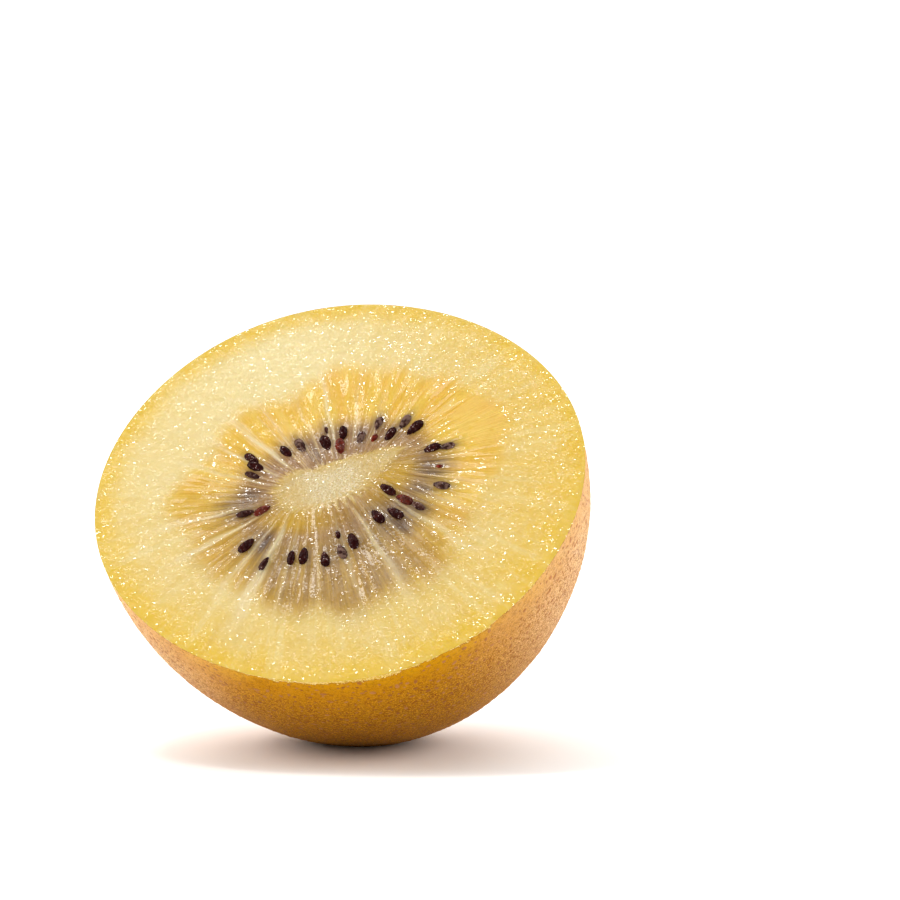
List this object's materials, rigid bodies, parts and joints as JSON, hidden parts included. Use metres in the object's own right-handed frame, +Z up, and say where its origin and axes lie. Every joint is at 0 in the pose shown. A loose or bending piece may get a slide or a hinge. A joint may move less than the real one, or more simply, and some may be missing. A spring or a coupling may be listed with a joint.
{
  "type": "golden kiwi fruit half",
  "caption": "Half of a golden kiwi fruit lying on its side: thin dotted brown skin, yellow flesh cut across, rays fanning out from a pale core and a ring of dark seeds.",
  "frame": {"origin": "middle of the part's box, on the surface that it rests on", "axes": "+Z up, +X to the right along the cut face's wide way, -Y to the front, where the cut face looks, leaning back about 50 degrees from upright"},
  "size_m": [0.0552, 0.0482, 0.0487],
  "materials": {
    "flesh": "wet, slightly translucent yellow fruit flesh",
    "skin": "thin golden brown skin with small raised brown dots",
    "core": "pale, firm, fibrous core",
    "seed": "glossy near-black seeds with a purple brown cast"
  },
  "bodies": {
    "root": {"golden_kiwi_half": "flesh"}
  },
  "joints": []
}
